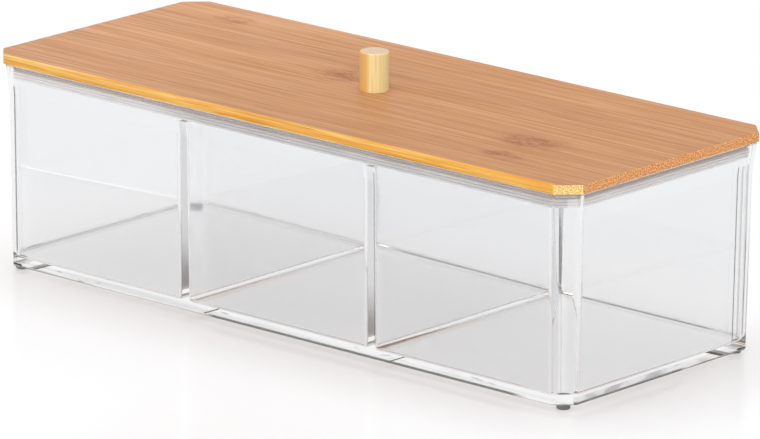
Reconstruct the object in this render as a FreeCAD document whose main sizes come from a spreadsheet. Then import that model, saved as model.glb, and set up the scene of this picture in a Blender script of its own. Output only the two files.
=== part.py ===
import FreeCAD, Part
import os
import Sketcher

# Clear three-compartment organiser box with a lift-off bamboo lid. Millimetres.
# +Z up, front faces -Y, the lid's length runs along X, z = 0 under the feet.

DOC = FreeCAD.newDocument("organiser_box")

# ---------------------------------------------------------------- dimensions

DIMENSIONS = [
    ("lid_length", 250.0, "lid board, left to right"),
    ("lid_width", 100.0, "lid board, front to back"),
    ("lid_cut", 6.7, "corner cut of the lid board, along each side"),
    ("lip_thick", 3.1, "lid board outside the tray"),
    ("lip_overhang", 0.2, "lid edge beyond the tray rim"),
    ("lid_edge_round", 0.35, "eased edges of the bamboo"),
    ("neck_height", 2.1, "plug above the seal ring"),
    ("neck_gap", 2.1, "plug side to the tray wall at the rim"),
    ("seal_height", 3.0, "seal ring"),
    ("seal_gap", 1.0, "fins of the seal ring to the tray wall at the rim"),
    ("fin_reach", 0.4, "fins beyond the band of the seal ring"),
    ("fin_height", 0.5, "each fin"),
    ("fin_pitch", 0.95, "fin to fin"),
    ("band_thick", 1.3, "band of the seal ring"),
    ("rib_reach", 1.2, "inner rib of the seal ring, into the plug's groove"),
    ("rib_height", 1.2, "inner rib of the seal ring"),
    ("tray_height", 69.1, "shell, underside to rim"),
    ("tray_draft", 1.0, "degrees, walls lean outwards"),
    ("flare_reach", 1.0, "rim beyond the line of the wall below"),
    ("flare_height", 10.0, "flared part of the wall, under the rim"),
    ("wall_thick", 2.5, "outer walls"),
    ("floor_thick", 3.0, "floor"),
    ("divider_thick", 2.6, "dividers at their top"),
    ("divider_draft", 0.3, "degrees, each face of a divider"),
    ("divider_gap", 0.4, "divider top to the underside of the plug"),
    ("corner_radius", 3.0, "upright corners of the cavity"),
    ("inner_radius", 1.2, "other moulded radii inside the compartments"),
    ("shell_round", 0.9, "rounding of the shell's corners and underside"),
    ("rim_round", 0.3, "rounding of the rim"),
    ("knob_dia", 9.6, "knob"),
    ("knob_height", 13.0, "knob"),
    ("knob_edge_round", 0.5, "eased edge on top of the knob"),
    ("screw_dia", 3.0, "knob screw"),
    ("screw_length", 15.0, "knob screw, head included"),
    ("screw_point", 2.0, "pointed end of the knob screw"),
    ("screw_head_dia", 5.8, "countersunk head"),
    ("screw_hole_gap", 0.2, "screw shank to the hole in the lid, all round"),
    ("head_sink", 0.3, "screw head above the underside of the plug"),
    ("recess_width", 0.9, "cross recess of the screw"),
    ("recess_span", 3.0, "cross recess of the screw"),
    ("recess_depth", 1.1, "cross recess of the screw"),
    ("foot_dia", 4.4, "soft foot"),
    ("foot_height", 1.8, "soft foot"),
    ("foot_round", 0.6, "rounded lower edge of a foot"),
    ("foot_inset", 5.2, "foot centre from the sides of the shell's underside"),
]

# An outline moved inwards loses cut_share of that distance from its corner cut.
DERIVED = [
    ("cut_share", "=2 - sqrt(2)", "corner cut lost per inset"),
    ("rim_length", "=lid_length - 2 * lip_overhang", "shell at the rim"),
    ("rim_width", "=lid_width - 2 * lip_overhang", "shell at the rim"),
    ("rim_cut", "=lid_cut + cut_share * flare_reach", "shell at the rim"),
    ("lean", "=tray_height * tan(tray_draft)", "of the wall without its flare"),
    ("base_length", "=rim_length - 2 * flare_reach - 2 * lean", "shell at the underside"),
    ("base_width", "=rim_width - 2 * flare_reach - 2 * lean", "shell at the underside"),
    ("base_cut", "=lid_cut - cut_share * lean", "shell at the underside"),
    ("flare_level", "=tray_height - flare_height", "start of the flare, above the underside"),
    ("flare_lean", "=flare_level * tan(tray_draft)", "wall below the flare"),
    ("flare_draft", "=atan((lean - flare_lean + flare_reach) / flare_height)", "degrees"),
    ("flare_length", "=base_length + 2 * flare_lean", "shell at the start of the flare"),
    ("flare_width", "=base_width + 2 * flare_lean", "shell at the start of the flare"),
    ("flare_cut", "=base_cut + cut_share * flare_lean", "shell at the start of the flare"),
    ("throat_length", "=flare_length - 2 * wall_thick", "cavity at the start of the flare"),
    ("throat_width", "=flare_width - 2 * wall_thick", "cavity at the start of the flare"),
    ("throat_cut", "=flare_cut - cut_share * wall_thick", "cavity at the start of the flare"),
    ("mouth_length", "=rim_length - 2 * wall_thick", "cavity at the rim"),
    ("mouth_width", "=rim_width - 2 * wall_thick", "cavity at the rim"),
    ("mouth_cut", "=rim_cut - cut_share * wall_thick", "cavity at the rim"),
    ("plug_height", "=neck_height + seal_height", "plug under the lip"),
    ("divider_top", "=tray_height - plug_height - divider_gap", "above the underside"),
    ("divider_centre", "=throat_length / 6", "three equal compartments"),
    ("divider_spread", "=(divider_top - floor_thick) * tan(divider_draft)", "each face"),
    ("divider_top_left", "=divider_centre - divider_thick / 2", "right divider"),
    ("divider_top_right", "=divider_centre + divider_thick / 2", "right divider"),
    ("divider_foot_left", "=divider_top_left - divider_spread", "right divider"),
    ("divider_foot_right", "=divider_top_right + divider_spread", "right divider"),
    ("divider_span", "=(throat_width + base_width) / 2", "both ends inside the walls"),
    ("neck_length", "=mouth_length - 2 * neck_gap", "plug above the ring"),
    ("neck_width", "=mouth_width - 2 * neck_gap", "plug above the ring"),
    ("neck_cut", "=mouth_cut - cut_share * neck_gap", "plug above the ring"),
    ("fin_length", "=mouth_length - 2 * seal_gap", "outside of the fins"),
    ("fin_width", "=mouth_width - 2 * seal_gap", "outside of the fins"),
    ("fin_cut", "=mouth_cut - cut_share * seal_gap", "outside of the fins"),
    ("band_length", "=fin_length - 2 * fin_reach", "outside of the band"),
    ("band_width", "=fin_width - 2 * fin_reach", "outside of the band"),
    ("band_cut", "=fin_cut - cut_share * fin_reach", "outside of the band"),
    ("seat_length", "=band_length - 2 * band_thick", "plug under the band"),
    ("seat_width", "=band_width - 2 * band_thick", "plug under the band"),
    ("seat_cut", "=band_cut - cut_share * band_thick", "plug under the band"),
    ("groove_length", "=seat_length - 2 * rib_reach", "bottom of the plug's groove"),
    ("groove_width", "=seat_width - 2 * rib_reach", "bottom of the plug's groove"),
    ("groove_cut", "=seat_cut - cut_share * rib_reach", "bottom of the plug's groove"),
    ("ledge_height", "=(seal_height - rib_height) / 2", "plug on each side of the groove"),
    ("groove_top", "=ledge_height + rib_height", "above the plug's underside"),
    ("first_fin", "=(seal_height - fin_height) / 2 - fin_pitch", "above the ring's underside"),
    ("lid_thick", "=plug_height + lip_thick", "lip and plug"),
    ("screw_radius", "=screw_dia / 2", "knob screw"),
    ("head_radius", "=screw_head_dia / 2", "knob screw"),
    ("head_height", "=head_radius - screw_radius", "90 degree countersink"),
    ("shank_end", "=screw_length - screw_point", "start of the screw's point"),
    ("hole_radius", "=screw_radius + screw_hole_gap", "through the lid"),
    ("sink_radius", "=head_radius + head_sink + screw_hole_gap", "countersink in the plug"),
    ("sink_depth", "=head_height + head_sink", "countersink in the plug"),
    ("bore_depth", "=head_sink + screw_length - lid_thick", "screw inside the knob"),
    ("foot_x", "=base_length / 2 - foot_inset", "foot centres"),
    ("foot_y", "=base_width / 2 - foot_inset", "foot centres"),
    ("plug_level", "=foot_height + tray_height - plug_height", "above the table"),
    ("screw_level", "=plug_level + head_sink", "above the table"),
    ("lid_top_level", "=plug_level + lid_thick", "above the table"),
]


def build_sheet():
    sheet = DOC.addObject("Spreadsheet::Sheet", "Sheet")
    row = 1
    for alias, value, note in DIMENSIONS + DERIVED:
        sheet.set("A%d" % row, alias)
        sheet.set("B%d" % row, str(value))
        sheet.set("C%d" % row, note)
        sheet.setAlias("B%d" % row, alias)
        row += 1
    DOC.recompute()
    return sheet


SHEET = build_sheet()


def size(alias):
    return float(getattr(SHEET, alias))


# ------------------------------------------------------------ sketch helpers


def origin_plane(body, role):
    for feature in body.Origin.OriginFeatures:
        if feature.Role == role:
            return feature
    raise ValueError("no plane " + role)


def new_body(label, level=None):
    """A body of its own; level is the height of its own z = 0 above the table."""
    body = DOC.addObject("PartDesign::Body", label)
    body.Label = label
    if level:
        body.setExpression(".Placement.Base.z", "Sheet." + level)
    return body


def new_sketch(body, name, level=None, role="XY_Plane"):
    sketch = body.newObject("Sketcher::SketchObject", name)
    sketch.AttachmentSupport = [(origin_plane(body, role), "")]
    sketch.MapMode = "FlatFace"
    if level:
        sketch.setExpression(".AttachmentOffset.Base.z", "Sheet." + level)
    return sketch


def add_lines(sketch, corners):
    """A closed run of lines through the corners; returns the first line's index."""
    first = sketch.GeometryCount
    points = [FreeCAD.Vector(x, y, 0) for x, y in corners]
    count = len(points)
    for i in range(count):
        sketch.addGeometry(Part.LineSegment(points[i], points[(i + 1) % count]), False)
    for i in range(count):
        after = first + (i + 1) % count
        sketch.addConstraint(Sketcher.Constraint("Coincident", first + i, 2, after, 1))
    return first


def bind(sketch, kind, ends, alias):
    """A distance between two points, driven by a cell of the sheet."""
    index = sketch.addConstraint(Sketcher.Constraint(kind, *ends, size(alias)))
    sketch.setExpression("Constraints[%d]" % index, "Sheet." + alias)


def add_outline(sketch, name):
    """A rectangle with four cut corners, from NAME_length, NAME_width and NAME_cut."""
    x = size(name + "_length") / 2
    y = size(name + "_width") / 2
    cut = size(name + "_cut")
    corners = [(cut - x, -y), (x - cut, -y), (x, cut - y), (x, y - cut),
               (x - cut, y), (cut - x, y), (-x, y - cut), (-x, cut - y)]
    front = add_lines(sketch, corners)
    corner, right, back, left = front + 1, front + 2, front + 4, front + 6
    across = [(front, 1, front, 2), (back, 1, back, 2), (right, 1, left, 2), (right, 2, left, 1)]
    for ends in across:
        sketch.addConstraint(Sketcher.Constraint("Symmetric", *ends, -2))
    for ends in [(right, 1, right, 2), (front, 2, back, 1)]:
        sketch.addConstraint(Sketcher.Constraint("Symmetric", *ends, -1))
    bind(sketch, "DistanceX", (left, 1, right, 2), name + "_length")
    bind(sketch, "DistanceY", (front, 2, back, 1), name + "_width")
    bind(sketch, "DistanceX", (corner, 1, corner, 2), name + "_cut")
    bind(sketch, "DistanceY", (corner, 1, corner, 2), name + "_cut")


def add_profile(sketch, points):
    """Lines through points named by two cells, across and up; None lies on the axis."""
    places = []
    for across, up in points:
        places.append((size(across) if across else 0, size(up) if up else 0))
    first = add_lines(sketch, places)
    for i, (across, up) in enumerate(points):
        for alias, kind, axis in [(across, "DistanceX", -2), (up, "DistanceY", -1)]:
            if alias:
                bind(sketch, kind, (-1, 1, first + i, 1), alias)
            else:
                sketch.addConstraint(Sketcher.Constraint("PointOnObject", first + i, 1, axis))


def add_circle(sketch, dia_alias):
    circle = Part.Circle(FreeCAD.Vector(0, 0, 0), FreeCAD.Vector(0, 0, 1), size(dia_alias) / 2)
    index = sketch.addGeometry(circle, False)
    sketch.addConstraint(Sketcher.Constraint("Coincident", index, 3, -1, 1))
    bind(sketch, "Diameter", (index,), dia_alias)


def add_bar(sketch, along, across):
    """A rectangle about the origin."""
    x = size(along) / 2
    y = size(across) / 2
    front = add_lines(sketch, [(-x, -y), (x, -y), (x, y), (-x, y)])
    right, back = front + 1, front + 2
    sketch.addConstraint(Sketcher.Constraint("Symmetric", front, 1, front, 2, -2))
    sketch.addConstraint(Sketcher.Constraint("Symmetric", back, 1, back, 2, -2))
    sketch.addConstraint(Sketcher.Constraint("Symmetric", right, 1, right, 2, -1))
    bind(sketch, "DistanceX", (front, 1, front, 2), along)
    bind(sketch, "DistanceY", (right, 1, right, 2), across)


def new_pad(body, name, sketch, length, taper=None):
    pad = body.newObject("PartDesign::Pad", name)
    pad.Profile = sketch
    pad.setExpression("Length", length)
    if taper:
        pad.setExpression("TaperAngle", taper)
    sketch.Visibility = False
    DOC.recompute()
    return pad


def new_pocket(body, name, sketch, length, upward=False, taper=None):
    """A pocket that has to remove something: it cuts down, or up when told so."""
    before = body.Shape.Volume
    pocket = body.newObject("PartDesign::Pocket", name)
    pocket.Profile = sketch
    pocket.Reversed = upward
    pocket.setExpression("Length", length)
    if taper:
        pocket.setExpression("TaperAngle", taper)
    sketch.Visibility = False
    DOC.recompute()
    if body.Shape.Volume > before - NEAR:
        raise ValueError(name + " cuts nothing")
    return pocket


def new_turned(body, kind, name, sketch):
    """A Revolution or a Groove of the profile, all the way round its vertical axis."""
    turned = body.newObject("PartDesign::" + kind, name)
    turned.Profile = sketch
    turned.ReferenceAxis = (sketch, ["V_Axis"])
    turned.Angle = 360
    sketch.Visibility = False
    DOC.recompute()
    return turned


def new_rounding(body, name, base, wanted, radius):
    """A fillet on every edge of the base that the test accepts."""
    edges = []
    for i, edge in enumerate(base.Shape.Edges):
        if wanted(edge):
            edges.append("Edge%d" % (i + 1))
    fillet = body.newObject("PartDesign::Fillet", name)
    fillet.Base = (base, edges)
    fillet.setExpression("Radius", "Sheet." + radius)
    base.Visibility = False
    DOC.recompute()
    return fillet


# ------------------------------------------------------------- edge selectors

NEAR = 0.01


def lies_at(edge, level):
    box = edge.BoundBox
    return abs(box.ZMin - level) < NEAR and abs(box.ZMax - level) < NEAR


def stands(edge):
    box = edge.BoundBox
    return box.ZLength > 5 * max(box.XLength, box.YLength)


def near_corner(edge):
    return abs(edge.CenterOfMass.x) > size("base_length") / 2 - 3 * size("lid_cut")


def on_outer_wall(edge):
    """Nearer to the outer face of a wall than to its inner face."""
    middle = edge.CenterOfMass
    lean = size("lean") * middle.z / size("tray_height")
    reach_x = size("base_length") / 2 + lean - size("wall_thick") / 2
    reach_y = size("base_width") / 2 + lean - size("wall_thick") / 2
    return abs(middle.x) > reach_x or abs(middle.y) > reach_y


# ----------------------------------------------------------------------- tray


def build_tray():
    """Clear moulded shell with two dividers: three open compartments."""
    body = new_body("tray", "foot_height")

    outline = new_sketch(body, "shell_outline")
    add_outline(outline, "base")
    new_pad(body, "shell", outline, "Sheet.flare_level", "Sheet.tray_draft")
    waist = new_sketch(body, "flare_outline", "flare_level")
    add_outline(waist, "flare")
    new_pad(body, "flare", waist, "Sheet.flare_height", "Sheet.flare_draft")

    mouth = new_sketch(body, "mouth_outline", "tray_height")
    add_outline(mouth, "mouth")
    new_pocket(body, "mouth", mouth, "Sheet.flare_height", taper="-Sheet.flare_draft")
    throat = new_sketch(body, "cavity_outline", "flare_level")
    add_outline(throat, "throat")
    depth = "Sheet.flare_level - Sheet.floor_thick"
    new_pocket(body, "cavity", throat, depth, taper="-Sheet.tray_draft")

    profile = new_sketch(body, "divider_profile", role="XZ_Plane")
    add_profile(profile, [
        ("divider_foot_left", "floor_thick"),
        ("divider_foot_right", "floor_thick"),
        ("divider_top_right", "divider_top"),
        ("divider_top_left", "divider_top"),
    ])
    divider = new_pad(body, "right_divider", profile, "Sheet.divider_span")
    divider.Midplane = True
    DOC.recompute()

    pair = body.newObject("PartDesign::Mirrored", "left_divider")
    pair.Originals = [divider]
    pair.MirrorPlane = (origin_plane(body, "YZ_Plane"), [""])
    body.Tip = pair
    DOC.recompute()

    def cavity_corner(edge):
        return stands(edge) and near_corner(edge) and not on_outer_wall(edge)

    def inside(edge):
        if lies_at(edge, size("floor_thick")):
            return True
        return stands(edge) and not near_corner(edge)

    def outside(edge):
        return lies_at(edge, 0) or (stands(edge) and on_outer_wall(edge))

    def at_rim(edge):
        return lies_at(edge, size("tray_height"))

    corners = new_rounding(body, "cavity_corners", pair, cavity_corner, "corner_radius")
    radii = new_rounding(body, "inner_radii", corners, inside, "inner_radius")
    shell = new_rounding(body, "shell_edges", radii, outside, "shell_round")
    new_rounding(body, "rim_edges", shell, at_rim, "rim_round")
    return body


def build_foot(label, side_x, side_y):
    """Soft round foot stuck under one corner of the shell."""
    body = new_body(label)
    body.setExpression(".Placement.Base.x", side_x + "Sheet.foot_x")
    body.setExpression(".Placement.Base.y", side_y + "Sheet.foot_y")
    outline = new_sketch(body, "foot_outline")
    add_circle(outline, "foot_dia")
    pad = new_pad(body, "puck", outline, "Sheet.foot_height")
    new_rounding(body, "worn_edge", pad, lambda edge: lies_at(edge, 0), "foot_round")
    return body


# ------------------------------------------------------------------------ lid


def build_lid_board():
    """Bamboo board: a plug with a groove for the seal ring, and the lip above it."""
    body = new_body("lid_board", "plug_level")
    steps = [
        ("lower_ledge", "seat", None, "ledge_height"),
        ("groove_core", "groove", "ledge_height", "rib_height"),
        ("upper_ledge", "seat", "groove_top", "ledge_height"),
        ("neck", "neck", "seal_height", "neck_height"),
        ("lip", "lid", "plug_height", "lip_thick"),
    ]
    for name, outline_name, level, thick in steps:
        outline = new_sketch(body, name + "_outline", level)
        add_outline(outline, outline_name)
        new_pad(body, name, outline, "Sheet." + thick)

    hole = new_sketch(body, "screw_hole_profile", role="XZ_Plane")
    add_profile(hole, [
        (None, None),
        ("sink_radius", None),
        ("hole_radius", "sink_depth"),
        ("hole_radius", "lid_thick"),
        (None, "lid_thick"),
    ])
    drilled = new_turned(body, "Groove", "screw_hole", hole)

    def lip_edge(edge):
        if edge.Length < size("lip_thick") / 2 or edge.BoundBox.ZMin < size("plug_height") - NEAR:
            return False
        middle = edge.CenterOfMass
        clear_x = abs(middle.x) > size("neck_length") / 2 + NEAR
        clear_y = abs(middle.y) > size("neck_width") / 2 + NEAR
        return clear_x or clear_y

    new_rounding(body, "eased_edges", drilled, lip_edge, "lid_edge_round")
    return body


def build_seal_ring():
    """Silicone ring in the plug's groove: a band, an inner rib and three outer fins."""
    body = new_body("seal_ring", "plug_level")

    band = new_sketch(body, "band_outline")
    add_outline(band, "band")
    add_outline(band, "seat")
    new_pad(body, "band", band, "Sheet.seal_height")

    rib = new_sketch(body, "rib_outline", "ledge_height")
    add_outline(rib, "seat")
    add_outline(rib, "groove")
    new_pad(body, "rib", rib, "Sheet.rib_height")

    fin = new_sketch(body, "fin_outline", "first_fin")
    add_outline(fin, "fin")
    add_outline(fin, "band")
    lowest = new_pad(body, "lowest_fin", fin, "Sheet.fin_height")

    fins = body.newObject("PartDesign::LinearPattern", "fins")
    fins.Originals = [lowest]
    fins.Direction = (origin_plane(body, "Z_Axis"), [""])
    fins.Occurrences = 3
    fins.setExpression("Length", "2 * Sheet.fin_pitch")
    body.Tip = fins
    DOC.recompute()
    return body


def build_knob():
    """Plain bamboo dowel, bored from below for the screw."""
    body = new_body("knob", "lid_top_level")
    outline = new_sketch(body, "knob_outline")
    add_circle(outline, "knob_dia")
    new_pad(body, "dowel", outline, "Sheet.knob_height")
    bore = new_sketch(body, "bore_outline")
    add_circle(bore, "screw_dia")
    bored = new_pocket(body, "bore", bore, "Sheet.bore_depth", upward=True)
    top = size("knob_height")
    new_rounding(body, "eased_top", bored, lambda edge: lies_at(edge, top), "knob_edge_round")
    return body


def build_knob_screw():
    """Countersunk screw, up through the lid into the knob."""
    body = new_body("knob_screw", "screw_level")
    profile = new_sketch(body, "screw_profile", role="XZ_Plane")
    add_profile(profile, [
        (None, None),
        ("head_radius", None),
        ("screw_radius", "head_height"),
        ("screw_radius", "shank_end"),
        (None, "screw_length"),
    ])
    new_turned(body, "Revolution", "head_and_shank", profile)
    bars = [("first_bar", "recess_span", "recess_width"), ("second_bar", "recess_width", "recess_span")]
    for name, along, across in bars:
        bar = new_sketch(body, name + "_outline")
        add_bar(bar, along, across)
        new_pocket(body, name, bar, "Sheet.recess_depth", upward=True)
    return body


# ---------------------------------------------------------------------- build

PIECES = [
    build_tray(),
    build_foot("foot_front_left", "-", "-"),
    build_foot("foot_front_right", "", "-"),
    build_foot("foot_rear_left", "-", ""),
    build_foot("foot_rear_right", "", ""),
    build_lid_board(),
    build_seal_ring(),
    build_knob(),
    build_knob_screw(),
]

DOC.recompute()

for thing in DOC.Objects:
    if "Invalid" in thing.State or "Error" in thing.State:
        raise ValueError("%s is in error" % thing.Name)

os.makedirs("parts", exist_ok=True)
for piece in PIECES:
    shape = piece.Shape
    if shape.isNull() or not shape.isValid():
        raise ValueError("%s has no valid shape" % piece.Label)
    shape.exportStep("parts/%s.step" % piece.Label)
    box = shape.BoundBox
    print("%-18s solids %d  %7.2f %7.2f %7.2f  volume %.0f" % (
        piece.Label, len(shape.Solids), box.XLength, box.YLength, box.ZLength, shape.Volume))
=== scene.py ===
import math

import bpy
from mathutils import Matrix, Vector


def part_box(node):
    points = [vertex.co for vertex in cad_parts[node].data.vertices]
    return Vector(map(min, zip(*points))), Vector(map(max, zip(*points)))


# Clear organiser box with a bamboo lid, dressed for a studio render. Metres.

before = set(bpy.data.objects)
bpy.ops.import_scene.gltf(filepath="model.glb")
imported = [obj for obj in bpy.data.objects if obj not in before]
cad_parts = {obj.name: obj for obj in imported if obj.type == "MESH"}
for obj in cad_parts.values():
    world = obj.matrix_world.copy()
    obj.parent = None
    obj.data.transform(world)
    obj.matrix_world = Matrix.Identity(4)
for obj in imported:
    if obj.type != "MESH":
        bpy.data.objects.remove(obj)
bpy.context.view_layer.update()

# ------------------------------------------------------------------ measures

lid_low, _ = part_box("lid_board")
_, tray_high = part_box("tray")

# The lid rests on the tray's rim. Its board is made of strips side by side and of layers, its
# caramel face stops just short of the front edge, where the edge's colour runs onto it, and the
# plug's neck is just under the lip.
LIP_UNDER = tray_high.z
STRIP_WIDTH = 0.0195
STRIP_SHIFT = 0.0085
LAYER_HEIGHT = 0.00135
FACE_EDGE_MARGIN = 0.0013
NECK_TOP = LIP_UNDER - 0.0001
NECK_FOOT = LIP_UNDER - 0.0023

# The tray's underside, its floor plate, and its leaning walls with the painted refraction lines
# on them.
BASE_HALF_X = 0.1226
BASE_HALF_Y = 0.0476
PLATE_LOW = 0.0018
PLATE_TOP = 0.0048
LINE_TOP = 0.0645
WALL_LEAN = math.tan(math.radians(1.0))
RIGHT_WALL = (0.1180, 0.1190)

# Painted dark refraction lines, upright on the outside of a wall: place along it, half width,
# light lost.
FRONT_REFRACTION_LINES = [(-0.1146, 0.00036, 0.90), (0.0433, 0.00034, 0.62)]
RIGHT_REFRACTION_LINES = [(0.0345, 0.00034, 0.88), (0.0369, 0.00055, 0.50), (0.0394, 0.00065, 0.50)]

# Glossy turns after which light caught in the plastic is let out.
TRAPPED_TURNS = 3

# Where the culm's joints cross the lid: centre, length along the grain, width across.
CULM_JOINTS = [
    (-0.095, 0.037, 0.022, 0.014),
    (-0.019, 0.007, 0.030, 0.022),
    (0.080, -0.015, 0.036, 0.022),
    (0.083, -0.033, 0.022, 0.012),
]

CAMERA_PLACE = Vector((1.6642, -1.8839, 0.7318))
CAMERA_AZIMUTH = math.radians(41.406)
CAMERA_ELEVATION = math.radians(15.592)
CAMERA_ROLL = math.radians(0.444)
CAMERA_LENS = 380.6


# -------------------------------------------------------------- node helpers

def add(tree, kind, inputs=None, **settings):
    """A shader node; each input is a plain value or another node's output."""
    made = tree.nodes.new("ShaderNode" + kind)
    for name, value in settings.items():
        setattr(made, name, value)
    for key, value in (inputs or {}).items():
        if isinstance(value, bpy.types.NodeSocket):
            tree.links.new(value, made.inputs[key])
        else:
            made.inputs[key].default_value = value
    return made


def maths(tree, operation, first, second=0.0, third=0.0):
    """One sum on plain values or on other nodes' outputs."""
    made = add(tree, "Math", {0: first, 1: second, 2: third}, operation=operation)
    return made.outputs[0]


def plus(tree, first, second):
    return maths(tree, "ADD", first, second)


def minus(tree, first, second):
    return maths(tree, "SUBTRACT", first, second)


def times(tree, first, second):
    return maths(tree, "MULTIPLY", first, second)


def times_plus(tree, first, second, third):
    return maths(tree, "MULTIPLY_ADD", first, second, third)


def highest(tree, first, second):
    return maths(tree, "MAXIMUM", first, second)


def size_of(tree, value):
    return maths(tree, "ABSOLUTE", value)


def grey(tree, value):
    """A colour with the value in all three channels."""
    return add(tree, "CombineColor", {0: value, 1: value, 2: value}).outputs[0]


def mixed(tree, factor, first, second, blend="MIX"):
    """Two colours mixed by the factor."""
    made = add(tree, "Mix", {0: factor, 6: first, 7: second}, data_type="RGBA", blend_type=blend)
    return made.outputs[2]


def ranged(tree, value, low, high, to_low=0.0, to_high=1.0):
    """The value's span from low to high, eased and turned into to_low to to_high."""
    made = add(tree, "MapRange", {0: value, 1: low, 2: high, 3: to_low, 4: to_high},
               interpolation_type="SMOOTHSTEP")
    return made.outputs[0]


def scaled(tree, vector, scale, shift=(0, 0, 0)):
    """The vector stretched by the scale and moved by the shift, to set a pattern's grain."""
    return add(tree, "Mapping", {0: vector, 1: shift, 3: scale}).outputs[0]


def noise(tree, vector, detail=2.0, rough=0.5):
    """Noise with features about one unit across."""
    made = add(tree, "TexNoise", {
        "Vector": vector, "Scale": 1.0, "Detail": detail, "Roughness": rough})
    return made.outputs["Fac"]


def parts_of(tree, vector):
    """The vector's X, Y and Z."""
    return add(tree, "SeparateXYZ", {0: vector}).outputs


def new_group(name, inputs, outputs):
    """A shader node group; inputs are (name, type, value), outputs (name, type)."""
    tree = bpy.data.node_groups.new(name, "ShaderNodeTree")
    for label, kind, value in inputs:
        socket = tree.interface.new_socket(label, in_out="INPUT", socket_type="NodeSocket" + kind)
        if value is not None:
            socket.default_value = value
    for label, kind in outputs:
        tree.interface.new_socket(label, in_out="OUTPUT", socket_type="NodeSocket" + kind)
    entry = tree.nodes.new("NodeGroupInput")
    leave = tree.nodes.new("NodeGroupOutput")
    return tree, entry.outputs, leave.inputs


def use_group(tree, group, inputs):
    """The outputs of a node that holds the group."""
    return add(tree, "Group", inputs, node_tree=group).outputs


def new_material(name):
    """A material with its Principled shader and the object's own coordinates."""
    made = bpy.data.materials.new(name)
    made.use_nodes = True
    tree = made.node_tree
    tree.nodes.clear()
    shader = add(tree, "BsdfPrincipled")
    out = add(tree, "OutputMaterial", {0: shader.outputs[0]})
    place = add(tree, "TexCoord")
    return made, tree, shader, out, place


def give_bump(tree, shader, height, strength, distance):
    """Surface relief from a height pattern; the distance is in metres."""
    bump = add(tree, "Bump", {"Height": height, "Strength": strength, "Distance": distance})
    tree.links.new(bump.outputs[0], shader.inputs["Normal"])


# ------------------------------------------------------------- shared effects

def bamboo_fibres():
    """Fibres along X: soft streaks with finer dark lines over them."""
    tree, given, result = new_group(
        "bamboo fibres",
        [("Vector", "Vector", None),
         ("Pale", "Color", (1, 1, 1, 1)), ("Dark", "Color", (0, 0, 0, 1)),
         ("Line", "Color", (0, 0, 0, 1)), ("Line Strength", "Float", 0.5),
         ("Fineness", "Float", 1.0)],
        [("Color", "Color"), ("Streak", "Float"), ("Line", "Float")])
    drift = noise(tree, scaled(tree, given["Vector"], (16, 60, 60)), detail=1.0)
    drift = times(tree, minus(tree, drift, 0.5), 0.0022)
    x, y, z = parts_of(tree, given["Vector"])
    y = plus(tree, y, drift)
    z = plus(tree, z, times(tree, drift, 0.3))
    fine = given["Fineness"]
    bent = add(tree, "CombineXYZ", {
        0: x, 1: times(tree, y, fine), 2: times(tree, z, fine)}).outputs[0]
    broad = noise(tree, scaled(tree, bent, (9, 190, 230)), detail=2.0)
    streak = noise(tree, scaled(tree, bent, (14, 780, 820)), detail=3.0, rough=0.8)
    line = noise(tree, scaled(tree, bent, (14, 1050, 1050), (3, 7, 1)), detail=2.0, rough=0.6)
    line = ranged(tree, line, 0.54, 0.68)
    share = times_plus(tree, broad, 0.16, streak)
    share = ranged(tree, share, 0.38, 0.76)
    colour = mixed(tree, share, given["Pale"], given["Dark"])
    shown = times(tree, line, given["Line Strength"])
    colour = mixed(tree, shown, colour, given["Line"])
    tree.links.new(colour, result["Color"])
    tree.links.new(share, result["Streak"])
    tree.links.new(line, result["Line"])
    return tree


def bamboo_end_dots():
    """Cut ends of the fibre bundles, on faces across the grain."""
    tree, given, result = new_group(
        "bamboo end dots",
        [("Vector", "Vector", None), ("Spacing", "Float", 0.0008)],
        [("Dots", "Float")])
    _, y, z = parts_of(tree, given["Vector"])
    flat = add(tree, "CombineXYZ", {
        0: maths(tree, "DIVIDE", y, given["Spacing"]),
        1: maths(tree, "DIVIDE", z, given["Spacing"])}).outputs[0]
    cell = add(tree, "TexVoronoi", {"Vector": flat, "Scale": 1.0, "Randomness": 0.85},
               voronoi_dimensions="2D")
    dots = ranged(tree, cell.outputs["Distance"], 0.22, 0.46, 1.0, 0.0)
    tree.links.new(dots, result["Dots"])
    return tree


def handling_marks():
    """Faint smudges and hairlines in the gloss, and a slow wave in the surface."""
    tree, given, result = new_group(
        "handling marks",
        [("Vector", "Vector", None), ("Base", "Float", 0.1), ("Spread", "Float", 0.1)],
        [("Roughness", "Float"), ("Height", "Float")])
    smudge = noise(tree, scaled(tree, given["Vector"], (38, 38, 38)), detail=3.0)
    hair = noise(tree, scaled(tree, given["Vector"], (900, 60, 420), (2, 5, 3)), detail=1.0)
    smudge = ranged(tree, smudge, 0.45, 0.75)
    hair = ranged(tree, hair, 0.68, 0.74)
    both = highest(tree, smudge, times(tree, hair, 0.8))
    tree.links.new(times_plus(tree, both, given["Spread"], given["Base"]), result["Roughness"])
    wave = noise(tree, scaled(tree, given["Vector"], (24, 24, 24), (1, 9, 4)), detail=1.0)
    tree.links.new(wave, result["Height"])
    return tree


FIBRES = bamboo_fibres()
END_DOTS = bamboo_end_dots()
MARKS = handling_marks()


# ------------------------------------------------------------------ materials

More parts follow.
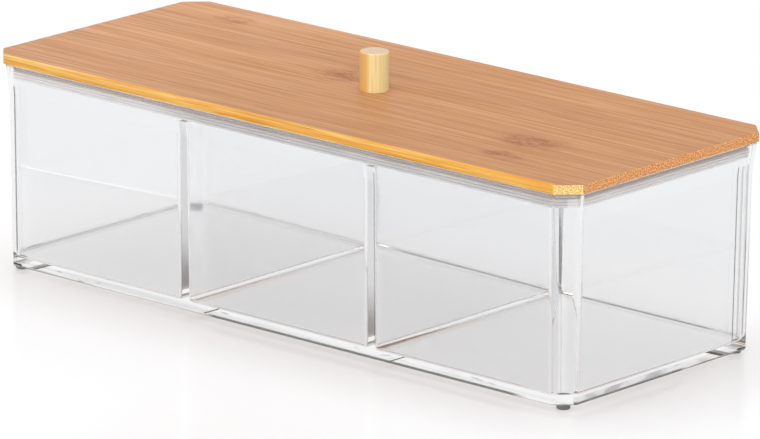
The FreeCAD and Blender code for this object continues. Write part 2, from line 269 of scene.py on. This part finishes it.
def culm_joints(tree, x, y, z, spot):
    """Where the joints' rough marks show on the lid's face."""
    near = None
    for centre_x, centre_y, length, width in CULM_JOINTS:
        across_x = maths(tree, "DIVIDE", minus(tree, x, centre_x), length / 2)
        across_y = maths(tree, "DIVIDE", minus(tree, y, centre_y), width / 2)
        reach = maths(tree, "SQRT", plus(
            tree, maths(tree, "POWER", size_of(tree, across_x), 2.0),
            maths(tree, "POWER", size_of(tree, across_y), 2.0)))
        mask = ranged(tree, reach, 0.25, 1.0, 1.0, 0.0)
        near = mask if near is None else highest(tree, near, mask)
    swirl = noise(tree, scaled(tree, spot, (120, 150, 150)), detail=1.0)
    swirl = times(tree, minus(tree, swirl, 0.5), 0.006)
    turned = add(tree, "CombineXYZ", {
        0: plus(tree, x, swirl), 1: plus(tree, y, swirl), 2: z}).outputs[0]
    knot = noise(tree, scaled(tree, turned, (230, 640, 640)), detail=3.0, rough=0.75)
    return times(tree, ranged(tree, knot, 0.42, 0.60, 0.20, 1.0), near)


def board_face(tree, x, face, knot, strip_tone):
    """Caramel lamella: the fibres, the joints, each strip's own tone, and painted sheen that
    makes it paler and greyer on the left, warmer and darker on the right.
    """
    knot_share = times(tree, knot, 0.85)
    colour = mixed(tree, knot_share, face["Color"], (0.37, 0.130, 0.052, 1))
    tone = times_plus(tree, strip_tone, 0.10, 0.93)
    colour = mixed(tree, 1.0, colour, grey(tree, tone), "MULTIPLY")
    # painted sheen: the face turns paler and bluer towards the left, darker and warmer towards
    # the right
    painted_sheen_fade = ranged(tree, x, -0.10, -0.02)
    painted_sheen = mixed(tree, painted_sheen_fade, (1.04, 1.05, 1.13, 1), (0.935, 0.905, 0.86, 1))
    return mixed(tree, 1.0, colour, painted_sheen, "MULTIPLY")


def board_edge(tree, x, spot, edge, layer_tone):
    """Golden core on the long edges, partly its own colour and partly painted light that makes
    the edges brighter than the face: deeper patches, orange strands, each layer's own tone.
    """
    patch = noise(tree, scaled(tree, spot, (34, 60, 420), (1, 4, 2)), detail=2.0)
    patch = ranged(tree, patch, 0.46, 0.66, 0.0, 0.36)
    patch = highest(tree, patch, ranged(tree, x, 0.030, 0.075, 0.0, 0.40))
    colour = mixed(tree, patch, edge["Color"], (0.84, 0.42, 0.06, 1))
    strand = noise(tree, scaled(tree, spot, (24, 40, 1300), (7, 3, 5)), detail=2.0)
    strand = ranged(tree, strand, 0.49, 0.60, 0.0, 0.62)
    colour = mixed(tree, strand, colour, (0.72, 0.30, 0.025, 1))
    shade = times_plus(tree, layer_tone, 0.16, 0.88)
    return mixed(tree, 1.0, colour, grey(tree, shade), "MULTIPLY")


def bamboo_board():
    """Caramel lamella on the flat faces, golden core on the edges (partly painted light that
    makes them brighter than the face), dotted ends.
    """
    made, tree, shader, out, place = new_material("bamboo_board")
    spot = place.outputs["Object"]
    x, y, z = parts_of(tree, spot)

    strip = maths(tree, "FLOOR", maths(tree, "DIVIDE", plus(tree, y, STRIP_SHIFT), STRIP_WIDTH))
    layer = maths(tree, "FLOOR", maths(tree, "DIVIDE", z, LAYER_HEIGHT))
    strip_tone = add(tree, "TexWhiteNoise", {"W": strip}, noise_dimensions="1D").outputs["Value"]
    layer_tone = add(tree, "TexWhiteNoise", {"W": layer}, noise_dimensions="1D").outputs["Value"]
    shift = add(tree, "CombineXYZ", {
        0: times(tree, strip_tone, 0.9),
        2: times(tree, strip_tone, 0.02)}).outputs[0]
    own = add(tree, "VectorMath", {0: spot, 1: shift}, operation="ADD").outputs[0]

    face = use_group(tree, FIBRES, {
        "Vector": own, "Pale": (0.665, 0.350, 0.167, 1), "Dark": (0.51, 0.238, 0.100, 1),
        "Line": (0.36, 0.150, 0.060, 1), "Line Strength": 0.36})
    edge = use_group(tree, FIBRES, {
        "Vector": own, "Pale": (0.93, 0.65, 0.235, 1), "Dark": (0.76, 0.34, 0.05, 1),
        "Line": (0.56, 0.17, 0.012, 1), "Line Strength": 0.85, "Fineness": 1.1})
    end_dots = use_group(tree, END_DOTS, {"Vector": spot, "Spacing": 0.0006})["Dots"]
    fine_dots = use_group(tree, END_DOTS, {"Vector": spot, "Spacing": 0.0005})["Dots"]
    knot = culm_joints(tree, x, y, z, spot)
    face_colour = board_face(tree, x, face, knot, strip_tone)
    edge_colour = board_edge(tree, x, spot, edge, layer_tone)
    end_colour = mixed(tree, end_dots, (0.93, 0.465, 0.19, 1), (0.53, 0.175, 0.05, 1))
    chamfer_colour = mixed(tree, fine_dots, (0.94, 0.68, 0.29, 1), (0.70, 0.37, 0.10, 1))

    along, across, upright = [
        size_of(tree, part) for part in parts_of(tree, place.outputs["Normal"])]
    on_chamfer = ranged(tree, maths(tree, "MINIMUM", along, across), 0.30, 0.40)
    on_end = ranged(tree, along, 0.30, 0.50)
    on_face = ranged(tree, upright, 0.80, 0.97)
    off_front = minus(tree, y, lid_low.y)
    on_face = times(tree, on_face, ranged(tree, off_front, FACE_EDGE_MARGIN - 0.0003, FACE_EDGE_MARGIN + 0.0002))
    colour = mixed(tree, on_end, edge_colour, end_colour)
    colour = mixed(tree, on_chamfer, colour, chamfer_colour)
    colour = mixed(tree, on_face, colour, face_colour)
    on_neck = times(tree, ranged(tree, z, NECK_FOOT, NECK_FOOT + 0.0003),
                    ranged(tree, z, NECK_TOP - 0.0002, NECK_TOP, 1.0, 0.0))
    colour = mixed(tree, on_neck, colour, (0.66, 0.65, 0.65, 1))
    tree.links.new(colour, shader.inputs["Base Color"])

    rough = times_plus(tree, face["Streak"], 0.14, 0.42)
    tree.links.new(rough, shader.inputs["Roughness"])
    shader.inputs["Specular IOR Level"].default_value = 0.14
    height = plus(tree, face["Streak"], times(tree, face["Line"], -0.6))
    give_bump(tree, shader, height, 0.25, 0.0001)
    return made


def bamboo_dowel():
    """The knob: the same bamboo with its fibres upright, and painted shade that turns its left
    side, as the camera sees it, a darker orange.
    """
    made, tree, shader, out, place = new_material("bamboo_dowel")
    upright = add(tree, "Mapping", {
        0: place.outputs["Object"], 2: (0, math.radians(90), 0)}).outputs[0]
    side = use_group(tree, FIBRES, {
        "Vector": upright, "Pale": (0.97, 0.86, 0.49, 1), "Dark": (0.94, 0.72, 0.32, 1),
        "Line": (0.70, 0.38, 0.08, 1), "Line Strength": 0.45, "Fineness": 1.1})
    dots = use_group(tree, END_DOTS, {"Vector": upright, "Spacing": 0.0008})
    top = mixed(tree, dots["Dots"], (0.70, 0.53, 0.38, 1), (0.64, 0.46, 0.32, 1))
    x, y, _ = parts_of(tree, place.outputs["Object"])
    # painted shade: the knob's side on the camera's left is mixed toward a darker orange
    across = times_plus(tree, x, 0.75, times(tree, y, 0.66))
    painted_shade_left = ranged(tree, across, -0.0030, -0.0012, 1.0, 0.0)
    body = mixed(tree, times(tree, painted_shade_left, 0.75), side["Color"], (0.78, 0.40, 0.085, 1))
    facing = parts_of(tree, place.outputs["Normal"])
    on_top = ranged(tree, size_of(tree, facing[2]), 0.60, 0.85)
    tree.links.new(mixed(tree, on_top, body, top), shader.inputs["Base Color"])
    rough = times_plus(tree, side["Streak"], 0.15, 0.40)
    tree.links.new(rough, shader.inputs["Roughness"])
    shader.inputs["Specular IOR Level"].default_value = 0.14
    give_bump(tree, shader, side["Streak"], 0.3, 0.0001)
    return made


def painted_refraction_lines(tree, x, y, z):
    """Painted dark refraction lines, thin and upright, by two opposite corners and a divider,
    outside two walls.
    """
    lean = times(tree, minus(tree, z, PLATE_LOW), WALL_LEAN)
    off_front = plus(tree, plus(tree, lean, BASE_HALF_Y), y)
    off_right = minus(tree, plus(tree, lean, BASE_HALF_X), x)
    shown = None
    for off_wall, across, lines in [(off_front, x, FRONT_REFRACTION_LINES), (off_right, y, RIGHT_REFRACTION_LINES)]:
        on_wall = ranged(tree, off_wall, 0.0008, 0.0010, 1.0, 0.0)
        for centre, half, depth in lines:
            off = size_of(tree, minus(tree, across, centre))
            line = times(tree, ranged(tree, off, half * 0.4, half * 1.4, depth, 0.0), on_wall)
            shown = line if shown is None else highest(tree, shown, line)
    upright_part = times(tree, ranged(tree, z, PLATE_TOP + 0.0015, PLATE_TOP + 0.0035),
                         ranged(tree, z, LINE_TOP - 0.0010, LINE_TOP, 1.0, 0.0))
    return times(tree, shown, upright_part)


def plate_marks_and_shade_line(tree, spot, at_edge):
    """Grey flow lines and smears in the floor plate's edge, greyer towards the left, and painted
    shade: a dark line low on the edge, along the front and the right end, for the gap under the
    box.
    """
    x, y, z = parts_of(tree, spot)
    in_plate = ranged(tree, z, PLATE_TOP - 0.0002, PLATE_TOP, 1.0, 0.0)
    flow = noise(tree, scaled(tree, spot, (9, 9, 1500)), detail=1.0)
    dash = noise(tree, scaled(tree, spot, (110, 110, 1100), (5, 2, 8)), detail=1.0)
    smear = noise(tree, scaled(tree, spot, (110, 110, 300), (3, 3, 3)), detail=2.0)
    flow = times(tree, ranged(tree, flow, 0.50, 0.60), 0.24)
    dash = times(tree, ranged(tree, dash, 0.66, 0.72), 0.70)
    smear = times_plus(tree, ranged(tree, smear, 0.46, 0.64), 0.46, 0.24)
    on_right = ranged(tree, x, *RIGHT_WALL)
    leftward = ranged(tree, x, -0.045, -0.015, 0.14, 0.0)
    loss = highest(tree, highest(tree, flow, dash), times(tree, on_right, smear))
    loss = times(tree, plus(tree, loss, leftward), times(tree, in_plate, at_edge))

    # painted shade: a dark line low on the plate's edge, the shade of the gap under the box
    under = ranged(tree, z, PLATE_LOW + 0.0010, PLATE_LOW + 0.0014, 1.0, 0.0)
    shade_line_front = times(tree, ranged(tree, x, -0.034, -0.026),
                       ranged(tree, x, 0.100, 0.108, 1.0, 0.0))
    shade_line_right = times(tree, on_right, ranged(tree, y, 0.008, 0.014, 1.0, 0.0))
    dark = times(tree, highest(tree, shade_line_front, shade_line_right), times(tree, under, at_edge))
    return highest(tree, loss, times(tree, dark, 0.95))


def clear_plastic():
    """Clear moulded styrene; lets lamp light through to the floor."""
    made, tree, shader, out, place = new_material("clear_plastic")
    spot = place.outputs["Object"]
    marks = use_group(tree, MARKS, {"Vector": spot, "Base": 0.0, "Spread": 0.05})
    tree.links.new(marks["Roughness"], shader.inputs["Roughness"])
    shader.inputs["IOR"].default_value = 1.57
    shader.inputs["Transmission Weight"].default_value = 1.0
    give_bump(tree, shader, marks["Height"], 0.02, 0.001)

    x, y, z = parts_of(tree, spot)
    off_side = minus(tree, BASE_HALF_Y, size_of(tree, y))
    off_end = minus(tree, BASE_HALF_X, size_of(tree, x))
    inward = maths(tree, "MINIMUM", off_side, off_end)
    at_edge = ranged(tree, inward, 0.0009, 0.0011, 1.0, 0.0)
    loss = highest(tree, plate_marks_and_shade_line(tree, spot, at_edge), painted_refraction_lines(tree, x, y, z))
    # painted shade: the top of the rim is greyed, which dims its highlight just under the lid
    painted_shade_at_rim = ranged(tree, z, LIP_UNDER - 0.0007, LIP_UNDER - 0.0004)
    loss = highest(tree, loss, times(tree, painted_shade_at_rim, 0.50))
    kept = grey(tree, minus(tree, 1.0, loss))
    plastic = mixed(tree, 1.0, (0.950, 0.954, 0.960, 1), kept, "MULTIPLY")
    tree.links.new(plastic, shader.inputs["Base Color"])

    dense = times(tree, ranged(tree, inward, 0.0005, 0.0040, 1.0, 0.0),
                  ranged(tree, z, 0.0025, 0.0060, 1.0, 0.0))
    passed = mixed(tree, dense, (0.985, 0.985, 0.985, 1), (0.70, 0.70, 0.70, 1))
    passing = add(tree, "BsdfTransparent", {0: passed})
    light = add(tree, "LightPath").outputs
    lamp_or_fill = highest(tree, light["Is Shadow Ray"], light["Is Diffuse Ray"])
    both = add(tree, "MixShader", {0: lamp_or_fill, 1: shader.outputs[0], 2: passing.outputs[0]})
    trapped = maths(tree, "GREATER_THAN", light["Glossy Depth"], TRAPPED_TURNS - 0.5)
    leaving = add(tree, "BsdfTransparent", {0: (0.98, 0.98, 0.98, 1)})
    full = add(tree, "MixShader", {0: trapped, 1: both.outputs[0], 2: leaving.outputs[0]})
    tree.links.new(full.outputs[0], out.inputs[0])
    return made


def silicone():
    """Milky seal; painted shade darkens it from the left compartment rightwards, and painted
    light brightens its right end.
    """
    made, tree, shader, out, place = new_material("silicone")
    spot = place.outputs["Object"]
    cloud = ranged(tree, noise(tree, scaled(tree, spot, (60, 60, 200)), detail=3.0), 0.35, 0.7)
    colour = mixed(tree, cloud, (0.78, 0.77, 0.77, 1), (0.86, 0.85, 0.845, 1))
    x = parts_of(tree, spot)[0]
    # painted shade: darker from the middle rightwards; painted light: brighter on the right end
    tone = ranged(tree, x, -0.060, -0.030, 1.0, 0.77)
    tone = highest(tree, tone, ranged(tree, x, 0.1175, 0.1190, 0.0, 1.04))
    colour = mixed(tree, 1.0, colour, grey(tree, tone), "MULTIPLY")
    tree.links.new(colour, shader.inputs["Base Color"])
    marks = use_group(tree, MARKS, {"Vector": spot, "Base": 0.30, "Spread": 0.15})
    tree.links.new(marks["Roughness"], shader.inputs["Roughness"])
    shader.inputs["IOR"].default_value = 1.41
    shader.inputs["Subsurface Weight"].default_value = 0.7
    shader.inputs["Subsurface Radius"].default_value = (1.0, 1.0, 1.0)
    shader.inputs["Subsurface Scale"].default_value = 0.0015
    give_bump(tree, shader, marks["Height"], 0.05, 0.0001)
    return made


def foot_rubber():
    """Dark smoky rubber with a fine speckle."""
    made, tree, shader, out, place = new_material("foot_rubber")
    spot = place.outputs["Object"]
    speck = noise(tree, scaled(tree, spot, (1600, 1600, 1600)), detail=2.0)
    speckled = ranged(tree, speck, 0.4, 0.7)
    colour = mixed(tree, speckled, (0.12, 0.12, 0.125, 1), (0.20, 0.20, 0.205, 1))
    tree.links.new(colour, shader.inputs["Base Color"])
    marks = use_group(tree, MARKS, {"Vector": spot, "Base": 0.28, "Spread": 0.20})
    tree.links.new(marks["Roughness"], shader.inputs["Roughness"])
    give_bump(tree, shader, speck, 0.15, 0.0001)
    return made


def screw_steel():
    """Zinc plated steel with turning marks round its own axis."""
    made, tree, shader, out, place = new_material("screw_steel")
    spot = place.outputs["Object"]
    x, y, z = parts_of(tree, spot)
    radius = maths(tree, "SQRT", plus(tree, times(tree, x, x), times(tree, y, y)))
    rings = add(tree, "CombineXYZ", {0: times(tree, radius, 7000), 1: times(tree, z, 2500)})
    turning = noise(tree, rings.outputs[0], detail=1.0)
    bloom = noise(tree, scaled(tree, spot, (700, 700, 700)), detail=2.0)
    colour = mixed(tree, bloom, (0.62, 0.63, 0.66, 1), (0.50, 0.52, 0.53, 1))
    tree.links.new(colour, shader.inputs["Base Color"])
    shader.inputs["Metallic"].default_value = 1.0
    tree.links.new(times_plus(tree, bloom, 0.2, 0.22), shader.inputs["Roughness"])
    give_bump(tree, shader, turning, 0.2, 0.0001)
    return made


FEET = ["foot_front_left", "foot_front_right", "foot_rear_left", "foot_rear_right"]
FINISHES = {
    "tray": clear_plastic(),
    "lid_board": bamboo_board(),
    "seal_ring": silicone(),
    "knob": bamboo_dowel(),
    "knob_screw": screw_steel(),
    **dict.fromkeys(FEET, foot_rubber()),
}
for node_name, finish in FINISHES.items():
    for material_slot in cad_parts[node_name].material_slots:
        material_slot.material = finish


# --------------------------------------------------------------------- studio

# The floor turns plain white between these distances from the box's middle.
FLOOR_HALF = 4.0
FADE_START = 0.30
FADE_END = 0.60
# The share of plain white in the floor near the box: through plastic, and to the bare eye.
FLOOR_LIFT = 0.60
FLOOR_WHITE = 0.28
# How much dimmer the surroundings are through plastic.
BEHIND_DIM = 0.08
# Soft fill from the surroundings, and the dark flags left and right of the view.
WORLD_FILL = 0.61
FLAG_START = 0.80
FLAG_FULL = 0.92
LAMP_TARGET = Vector((0, 0, 0.04))


def light_rays(tree):
    """The kinds of ray, then 1 for rays that lead to the eye and 0 for those that only light,
    then the brightness of what is seen, less through plastic."""
    light = add(tree, "LightPath").outputs
    seen = highest(tree, light["Is Camera Ray"],
                   highest(tree, light["Is Glossy Ray"], light["Is Transmission Ray"]))
    return light, seen, times_plus(tree, light["Is Transmission Ray"], -BEHIND_DIM, 1.0)


def lay_floor():
    """White floor that keeps the shadow near the box and fades to plain white."""
    mesh = bpy.data.meshes.new("floor")
    corners = [(across * FLOOR_HALF, along * FLOOR_HALF, 0)
               for across, along in ((-1, -1), (1, -1), (1, 1), (-1, 1))]
    mesh.from_pydata(corners, [], [(0, 1, 2, 3)])
    floor = bpy.data.objects.new("floor", mesh)
    bpy.context.scene.collection.objects.link(floor)
    made, tree, shader, out, place = new_material("studio_floor")
    shader.inputs["Base Color"].default_value = (0.955, 0.957, 0.968, 1)
    shader.inputs["Roughness"].default_value = 0.16
    shader.inputs["Specular IOR Level"].default_value = 0.25
    reach = add(tree, "VectorMath", {0: place.outputs["Object"]}, operation="LENGTH")
    away = ranged(tree, reach.outputs["Value"], FADE_START, FADE_END)
    light, seen, dimmed = light_rays(tree)
    white = add(tree, "Emission", {0: (1, 1, 1, 1), 1: dimmed})
    share = highest(tree, times(tree, away, seen),
                    times(tree, light["Is Transmission Ray"], FLOOR_LIFT))
    share = highest(tree, share, times(tree, light["Is Camera Ray"], FLOOR_WHITE))
    both = add(tree, "MixShader", {0: share, 1: shader.outputs[0], 2: white.outputs[0]})
    tree.links.new(both.outputs[0], out.inputs[0])
    mesh.materials.append(made)


def light_world():
    """White surroundings to the eye and in reflections, soft fill for the light."""
    world = bpy.data.worlds.new("studio")
    bpy.context.scene.world = world
    world.use_nodes = True
    tree = world.node_tree
    tree.nodes.clear()
    light, seen, dimmed = light_rays(tree)
    spot = add(tree, "TexCoord").outputs["Generated"]
    bright = ranged(tree, parts_of(tree, spot)[2], 0.35, 0.90, 1.0, 0.30)
    sideways = (math.cos(CAMERA_AZIMUTH), math.sin(CAMERA_AZIMUTH), 0)
    level = add(tree, "VectorMath", {0: spot, 1: sideways}, operation="DOT_PRODUCT")
    flags = ranged(tree, size_of(tree, level.outputs["Value"]), FLAG_START, FLAG_FULL, 1.0, 0.03)
    bright = times(tree, times(tree, bright, flags), dimmed)
    bright = highest(tree, bright, light["Is Camera Ray"])
    fill = times(tree, minus(tree, 1.0, seen), WORLD_FILL)
    strength = times_plus(tree, seen, bright, fill)
    back = add(tree, "Background", {0: (1, 1, 1, 1), 1: strength})
    add(tree, "OutputWorld", {0: back.outputs[0]})


def hang_lamp(name, place, size, power):
    """A square soft box aimed at the box's middle."""
    data = bpy.data.lights.new(name, "AREA")
    data.size = size
    data.energy = power
    lamp = bpy.data.objects.new(name, data)
    bpy.context.scene.collection.objects.link(lamp)
    lamp.location = place
    lamp.rotation_mode = "QUATERNION"
    lamp.rotation_quaternion = (LAMP_TARGET - Vector(place)).to_track_quat("-Z", "Y")


def set_camera():
    """A long lens from the front right, slightly above and very slightly rolled."""
    data = bpy.data.cameras.new("camera")
    data.lens = CAMERA_LENS
    data.sensor_width = 36.0
    data.clip_start = 0.05
    data.clip_end = 20.0
    camera = bpy.data.objects.new("camera", data)
    bpy.context.scene.collection.objects.link(camera)
    forward = Vector((-math.sin(CAMERA_AZIMUTH) * math.cos(CAMERA_ELEVATION),
                      math.cos(CAMERA_AZIMUTH) * math.cos(CAMERA_ELEVATION),
                      -math.sin(CAMERA_ELEVATION)))
    level = forward.cross(Vector((0, 0, 1))).normalized()
    rise = level.cross(forward)
    right = level * math.cos(CAMERA_ROLL) + rise * math.sin(CAMERA_ROLL)
    up = rise * math.cos(CAMERA_ROLL) - level * math.sin(CAMERA_ROLL)
    turn = Matrix((right, up, -forward)).transposed()
    camera.matrix_world = Matrix.Translation(CAMERA_PLACE) @ turn.to_4x4()
    bpy.context.scene.camera = camera


lay_floor()
light_world()
hang_lamp("overhead", (-0.10, 0.0, 1.6), 1.4, 14.0)
hang_lamp("key", (0.75, -1.5, 0.42), 1.2, 13.0)
set_camera()
bpy.context.scene.view_settings.view_transform = "Standard"
